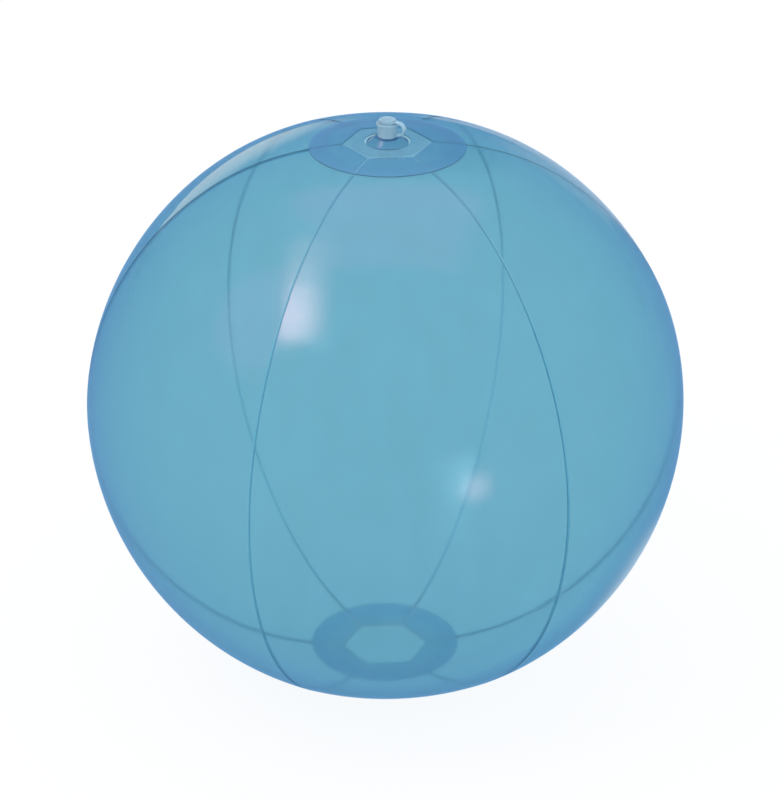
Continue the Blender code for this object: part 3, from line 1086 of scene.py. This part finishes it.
def set_camera(scene, stage, middle):
    """The camera in front of the ball, at its distance and elevation from an aim near the ball's middle."""
    back = np.array([0, -math.cos(stage.elevation), math.sin(stage.elevation)])
    right = np.array([1.0, 0, 0])
    up = np.cross(back, right)
    target = middle + stage.aim_right * right + stage.aim_up * up
    lens = bpy.data.cameras.new("camera")
    lens.lens = stage.lens
    lens.sensor_width = SENSOR_WIDTH_MM
    camera = bpy.data.objects.new("camera", lens)
    camera.location = target + stage.distance * back
    camera.rotation_euler = (math.pi / 2 - stage.elevation, 0, 0)
    camera.rotation_euler.rotate_axis("Z", stage.roll)
    scene.collection.objects.link(camera)
    scene.camera = camera


# Operators


class BEACHBALL_OT_gores(bpy.types.Operator):
    """Make the six film gores with their weld fins"""

    bl_idname = "beach_ball.gores"
    bl_label = "Gores"

    def execute(self, context):
        scene = context.scene
        skin = Skin(scene.ball_sizes)
        film, seam = calendered_film(scene.ball_finish), fused_seam(scene.ball_finish)
        for number in range(1, skin.sizes.gores + 1):
            outer, inner = gore_film(skin, number)
            fused, weld = gore_melt(skin, number)
            middle = skin.sizes.first_seam + skin.half_gore * (2 * number - 1)
            points, faces = sheet_solid(outer, inner, False)
            points = about_axis(points, middle) + np.array([0, 0, skin.middle])
            gore = add_piece(f"film_gore_{number}", (points, faces), film, weld)
            fuse(gore, seam, fused[faces])
            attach(gore, "shell")
            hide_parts(f"gore_{number}")
        return {"FINISHED"}


class BEACHBALL_OT_caps(bpy.types.Operator):
    """Make the round end caps"""

    bl_idname = "beach_ball.caps"
    bl_label = "End caps"

    def execute(self, context):
        scene = context.scene
        skin = Skin(scene.ball_sizes)
        material = calendered_film(scene.ball_finish)
        valve = scene.valve_sizes
        outer, inner = cap_film(skin, valve.flange_bore + valve.flange_showing)
        lift = np.array([0, 0, skin.middle])
        points, faces = sheet_solid(outer + lift, inner + lift, True)
        top = add_piece("film_top_cap", (points, faces), material, cap_weld(skin, points, BARE))
        rim = np.hypot(points[:, 0], points[:, 1]) > skin.sizes.cap_radius - skin.sizes.film / 2
        fuse(top, fused_seam(scene.ball_finish), rim[faces])
        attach(top, "shell")
        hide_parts("top_cap")
        points, faces = turned_solid(foot_profile(skin), CAP_STEPS)
        weld = cap_weld(skin, points, 0.0)
        foot = add_piece("film_bottom_cap", (points + lift, faces), material, weld)
        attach(foot, "shell")
        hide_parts("bottom_cap")
        return {"FINISHED"}


class BEACHBALL_OT_valve_base(bpy.types.Operator):
    """Make the valve's flange and the soft web that rises from it"""

    bl_idname = "beach_ball.valve_base"
    bl_label = "Valve base"

    def execute(self, context):
        scene = context.scene
        valve, finish = scene.valve_sizes, scene.ball_finish
        solid = turned_solid(flange_profile(Skin(scene.ball_sizes), valve), VALVE_STEPS)
        flange = add_piece("moulded_flange", solid, pressed_base(finish))
        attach(flange, "shell")
        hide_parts("valve_flange")
        solid = turned_solid(web_profile(valve, scene.ball_sizes.clearance), VALVE_STEPS)
        web = add_piece("moulded_web", solid, soft_web(finish))
        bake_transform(web)
        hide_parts("valve_web")
        return {"FINISHED"}


class BEACHBALL_OT_valve_stem(bpy.types.Operator):
    """Make the valve's tube with the lip round its mouth"""

    bl_idname = "beach_ball.valve_stem"
    bl_label = "Valve stem"

    def execute(self, context):
        scene = context.scene
        solid = turned_solid(stem_profile(scene.valve_sizes), VALVE_STEPS)
        stem = add_piece("moulded_stem", solid, moulded_valve(scene.ball_finish))
        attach(stem, "stem")
        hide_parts("valve_stem")
        return {"FINISHED"}


class BEACHBALL_OT_valve_plug(bpy.types.Operator):
    """Make the plug that closes the stem"""

    bl_idname = "beach_ball.valve_plug"
    bl_label = "Valve plug"

    def execute(self, context):
        scene = context.scene
        solid = turned_solid(plug_profile(scene.valve_sizes, scene.ball_sizes.clearance), VALVE_STEPS)
        plug = add_piece("moulded_plug", solid, moulded_valve(scene.ball_finish))
        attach(plug, "plug")
        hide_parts("valve_plug")
        return {"FINISHED"}


class BEACHBALL_OT_plug_strap(bpy.types.Operator):
    """Make the strap that ties the plug to the stem"""

    bl_idname = "beach_ball.plug_strap"
    bl_label = "Plug strap"

    def execute(self, context):
        scene = context.scene
        valve = scene.valve_sizes
        rings = strap_rings(valve, scene.ball_sizes.clearance)
        solid = ring_solid(rings, rings[[0, -1]].mean(axis=1))
        strap = add_piece("moulded_strap", solid, moulded_valve(scene.ball_finish))
        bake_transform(strap)
        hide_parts("plug_strap")
        return {"FINISHED"}


class BEACHBALL_OT_check_flap(bpy.types.Operator):
    """Make the flap that closes the stem from below"""

    bl_idname = "beach_ball.check_flap"
    bl_label = "Check flap"

    def execute(self, context):
        scene = context.scene
        valve = scene.valve_sizes
        solid = ring_solid(flap_rings(valve), [(0, 0, valve.flap_high), (0, 0, valve.flap_low)])
        flap = add_piece("moulded_flap", solid, moulded_valve(scene.ball_finish))
        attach(flap, "flap")
        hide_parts("check_flap")
        return {"FINISHED"}


class BEACHBALL_OT_stage(bpy.types.Operator):
    """Make the light table, the soft lights and the camera"""

    bl_idname = "beach_ball.stage"
    bl_label = "Stage"

    def execute(self, context):
        scene = context.scene
        stage = scene.ball_stage
        middle = np.array([0, 0, Skin(scene.ball_sizes).middle])
        scene.view_settings.view_transform = "Standard"
        scene.cycles.max_bounces = BOUNCES
        scene.cycles.transmission_bounces = BOUNCES
        scene.cycles.glossy_bounces = GLOSSY_BOUNCES
        scene.cycles.transparent_max_bounces = BOUNCES

        distance = np.linspace(FLOOR_INNER, FLOOR_OUTER, FLOOR_RINGS)
        grid = carried_round(distance, -FLOOR_DROP, FLOOR_STEPS)
        faces = grid_quads(0, FLOOR_RINGS, FLOOR_STEPS, True).tolist() + [list(range(FLOOR_STEPS))]
        mesh = bpy.data.meshes.new("light_table")
        mesh.from_pydata(grid.reshape(-1, 3), [], faces)
        mesh.materials.append(light_table(stage))
        floor = bpy.data.objects.new("light_table", mesh)
        scene.collection.objects.link(floor)

        world = bpy.data.worlds.new("white_studio_with_painted_reflections")
        world.use_nodes = True
        world.node_tree.nodes.clear()
        studio_world(world.node_tree, stage)
        scene.world = world

        hang_light(
            scene, "softbox", middle, SOFTBOX_ENDS, stage.softbox_width, stage.softbox,
            stage.cloth, SOFTBOX_ALONG, SOFTBOX_ACROSS,
        )
        hang_light(
            scene, "lamp", middle, LAMP_ENDS, stage.lamp_width, stage.lamp,
            stage.cloth, LAMP_FADE, LAMP_FADE,
        )
        set_camera(scene, stage, middle)
        return {"FINISHED"}


class BEACHBALL_PT_panel(bpy.types.Panel):
    """Lists the steps and the sizes of the beach ball"""

    bl_idname = "BEACHBALL_PT_panel"
    bl_label = "Beach Ball"
    bl_space_type = "VIEW_3D"
    bl_region_type = "UI"
    bl_category = "Beach Ball"

    def draw(self, context):
        for operator in OPERATORS:
            self.layout.operator(operator.bl_idname)
        for name in GROUPS:
            box = self.layout.box()
            for field in GROUPS[name].__annotations__:
                box.prop(getattr(context.scene, name), field)


GROUPS = {
    "ball_sizes": BallSizes,
    "valve_sizes": ValveSizes,
    "ball_finish": BallFinish,
    "ball_stage": StageSettings,
}
OPERATORS = (
    BEACHBALL_OT_stage,
    BEACHBALL_OT_gores,
    BEACHBALL_OT_caps,
    BEACHBALL_OT_valve_base,
    BEACHBALL_OT_valve_stem,
    BEACHBALL_OT_valve_plug,
    BEACHBALL_OT_plug_strap,
    BEACHBALL_OT_check_flap,
)


def register():
    """Makes the groups, the operators and the panel known to Blender."""
    for name, group in GROUPS.items():
        bpy.utils.register_class(group)
        setattr(bpy.types.Scene, name, bpy.props.PointerProperty(type=group))
    for operator in OPERATORS:
        bpy.utils.register_class(operator)
    bpy.utils.register_class(BEACHBALL_PT_panel)


def unregister():
    """Takes them away again."""
    bpy.utils.unregister_class(BEACHBALL_PT_panel)
    for operator in reversed(OPERATORS):
        bpy.utils.unregister_class(operator)
    for name, group in GROUPS.items():
        delattr(bpy.types.Scene, name)
        bpy.utils.unregister_class(group)


def main():
    """Builds the stage and every piece."""
    register()
    bpy.ops.beach_ball.stage()
    bpy.ops.beach_ball.gores()
    bpy.ops.beach_ball.caps()
    bpy.ops.beach_ball.valve_base()
    bpy.ops.beach_ball.valve_stem()
    bpy.ops.beach_ball.valve_plug()
    bpy.ops.beach_ball.plug_strap()
    bpy.ops.beach_ball.check_flap()


if __name__ == "__main__":
    main()
